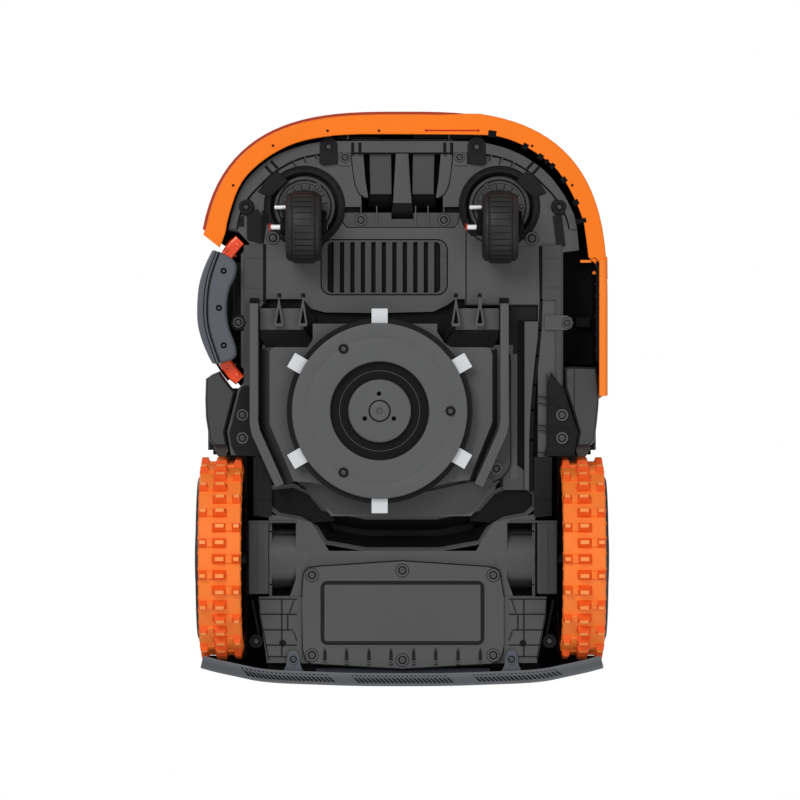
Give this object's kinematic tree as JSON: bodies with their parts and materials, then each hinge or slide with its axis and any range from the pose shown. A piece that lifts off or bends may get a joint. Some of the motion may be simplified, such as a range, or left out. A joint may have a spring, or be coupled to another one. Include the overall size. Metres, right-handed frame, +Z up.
{
  "type": "robotic lawn mower",
  "caption": "Battery robotic lawn mower: floating orange cover, driven rear wheels, front casters and a height-adjustable spinning disc of pivoting blades.",
  "frame": {"origin": "centre of the bounding box at the ground, between the wheels", "axes": "+Z up, the nose points along -Y, +X is the mower's left-hand side"},
  "size_m": [0.463, 0.6433, 0.256],
  "materials": {
    "orange_hood": "satin moulded",
    "orange_strip": "satin moulded",
    "orange_gloss": "high gloss, translucent look",
    "orange_tread": "matt moulded tread",
    "slate": "fine textured",
    "slate_dark": "fine textured",
    "charcoal": "moulded, fine grain",
    "charcoal_dark": "moulded, fine grain",
    "shroud": "satin moulded",
    "glide": "smooth low-friction",
    "rubber": "matt",
    "steel": "ground",
    "motor_steel": "plated can",
    "brass": "polished pads",
    "battery": "shrink-wrapped pack",
    "board": "circuit board",
    "glass": "dark display window",
    "red": "satin moulded"
  },
  "bodies": {
    "chassis": {"chassis_tub": "charcoal", "chassis_lid": "charcoal_dark", "cutter_shroud": "shroud", "battery_hatch": "charcoal", "vent_grille": "charcoal_dark", "left_caster_socket": "charcoal_dark", "right_caster_socket": "charcoal_dark", "left_motor_clamp": "charcoal", "right_motor_clamp": "charcoal", "left_gear_motor": "motor_steel", "right_gear_motor": "motor_steel", "battery_pack": "battery", "main_board": "board", "rear_body": "slate", "left_fender": "slate", "right_fender": "slate", "left_side_cover": "slate_dark", "right_side_cover": "slate_dark", "rear_cover": "slate", "control_panel": "charcoal_dark", "display": "glass", "lid_hinge_pin": "steel"},
    "carriage": {"float_carriage": "charcoal_dark"},
    "cover": {"hood": "orange_hood", "front_skirt": "orange_hood", "cover_frame": "slate_dark", "side_strip": "orange_strip", "side_guard": "slate", "guard_carrier": "orange_gloss", "charge_contact_left": "brass", "charge_contact_right": "brass"},
    "left_drive_wheel": {"left_tyre": "orange_tread", "left_rim": "charcoal_dark", "left_hubcap": "slate_dark"},
    "right_drive_wheel": {"right_tyre": "orange_tread", "right_rim": "charcoal_dark", "right_hubcap": "slate_dark"},
    "left_caster": {"left_caster_fork": "charcoal_dark", "left_caster_axle": "steel"},
    "right_caster": {"right_caster_fork": "charcoal_dark", "right_caster_axle": "steel"},
    "left_caster_wheel": {"left_caster_tyre": "rubber"},
    "right_caster_wheel": {"right_caster_tyre": "rubber"},
    "height_adjuster": {"height_knob": "charcoal"},
    "cutting_deck": {"deck_carrier": "charcoal_dark", "cutter_motor": "motor_steel"},
    "cutting_disc": {"blade_disc": "shroud", "glide_plate": "glide", "hub_cap": "shroud"},
    "lid": {"panel_lid": "slate_dark"},
    "stop": {"stop_button": "red"},
    "power_key": {"key_power": "rubber"},
    "start_key": {"key_start": "rubber"},
    "home_key": {"key_home": "rubber"},
    "cutter_1": {"blade_1": "steel"},
    "cutter_2": {"blade_2": "steel"},
    "cutter_3": {"blade_3": "steel"},
    "cutter_4": {"blade_4": "steel"},
    "cutter_5": {"blade_5": "steel"},
    "cutter_6": {"blade_6": "steel"}
  },
  "joints": [
    {"name": "left_drive", "type": "hinge", "parent": "chassis", "child": "left_drive_wheel", "pos_m": [0.2014, 0.1787, 0.1137], "axis": [1, 0, 0], "continuous": true},
    {"name": "right_drive", "type": "hinge", "parent": "chassis", "child": "right_drive_wheel", "pos_m": [-0.2014, 0.1787, 0.1137], "axis": [1, 0, 0], "continuous": true},
    {"name": "left_swivel", "type": "hinge", "parent": "chassis", "child": "left_caster", "pos_m": [0.1087, -0.2143, 0.084], "axis": [0, 0, 1], "continuous": true},
    {"name": "right_swivel", "type": "hinge", "parent": "chassis", "child": "right_caster", "pos_m": [-0.1087, -0.2143, 0.084], "axis": [0, 0, 1], "continuous": true},
    {"name": "left_caster_roll", "type": "hinge", "parent": "left_caster", "child": "left_caster_wheel", "pos_m": [0.1087, -0.19, 0.0405], "axis": [1, 0, 0], "continuous": true},
    {"name": "right_caster_roll", "type": "hinge", "parent": "right_caster", "child": "right_caster_wheel", "pos_m": [-0.1087, -0.19, 0.0405], "axis": [1, 0, 0], "continuous": true},
    {"name": "height_turn", "type": "hinge", "parent": "chassis", "child": "height_adjuster", "pos_m": [0, -0.045, 0.246], "axis": [0, 0, 1], "range_deg": [-160, 120]},
    {"name": "deck_height", "type": "slide", "parent": "chassis", "child": "cutting_deck", "axis": [0, 0, 1], "range_m": [-0.0159, 0.0119]},
    {"name": "disc_spin", "type": "hinge", "parent": "cutting_deck", "child": "cutting_disc", "pos_m": [-0.0248, 0.0135, 0.045], "axis": [0, 0, 1], "continuous": true},
    {"name": "bump", "type": "slide", "parent": "chassis", "child": "carriage", "axis": [0, 1, 0], "range_m": [-0.004, 0.004], "stiffness_N_per_m": 3000},
    {"name": "cover_lift", "type": "slide", "parent": "carriage", "child": "cover", "axis": [0, 0, 1], "range_m": [0, 0.008]},
    {"name": "lid_open", "type": "hinge", "parent": "chassis", "child": "lid", "pos_m": [0, 0.236, 0.251], "axis": [-1, 0, 0], "range_deg": [0, 100]},
    {"name": "stop_press", "type": "slide", "parent": "chassis", "child": "stop", "axis": [0, 0, 1], "range_m": [-0.003, 0], "stiffness_N_per_m": 1500, "springref_m": 0.001},
    {"name": "blade_1_swing", "type": "hinge", "parent": "cutting_disc", "child": "cutter_1", "pos_m": [0.04881, -0.029, 0.0435], "axis": [0, 0, 1], "continuous": true},
    {"name": "blade_2_swing", "type": "hinge", "parent": "cutting_disc", "child": "cutter_2", "pos_m": [0.04881, 0.056, 0.0435], "axis": [0, 0, 1], "continuous": true},
    {"name": "blade_3_swing", "type": "hinge", "parent": "cutting_disc", "child": "cutter_3", "pos_m": [-0.0248, 0.0985, 0.0435], "axis": [0, 0, 1], "continuous": true},
    {"name": "blade_4_swing", "type": "hinge", "parent": "cutting_disc", "child": "cutter_4", "pos_m": [-0.09841, 0.056, 0.0435], "axis": [0, 0, 1], "continuous": true},
    {"name": "blade_5_swing", "type": "hinge", "parent": "cutting_disc", "child": "cutter_5", "pos_m": [-0.09841, -0.029, 0.0435], "axis": [0, 0, 1], "continuous": true},
    {"name": "blade_6_swing", "type": "hinge", "parent": "cutting_disc", "child": "cutter_6", "pos_m": [-0.0248, -0.0715, 0.0435], "axis": [0, 0, 1], "continuous": true},
    {"name": "power_key_press", "type": "slide", "parent": "chassis", "child": "power_key", "axis": [0, 0, 1], "range_m": [-0.0012, 0], "stiffness_N_per_m": 800, "springref_m": 0.0005},
    {"name": "start_key_press", "type": "slide", "parent": "chassis", "child": "start_key", "axis": [0, 0, 1], "range_m": [-0.0012, 0], "stiffness_N_per_m": 800, "springref_m": 0.0005},
    {"name": "home_key_press", "type": "slide", "parent": "chassis", "child": "home_key", "axis": [0, 0, 1], "range_m": [-0.0012, 0], "stiffness_N_per_m": 800, "springref_m": 0.0005}
  ],
  "couplings": [
    {"joint": "height_turn", "follows": "deck_height", "rad_per_m": 175.44}
  ]
}
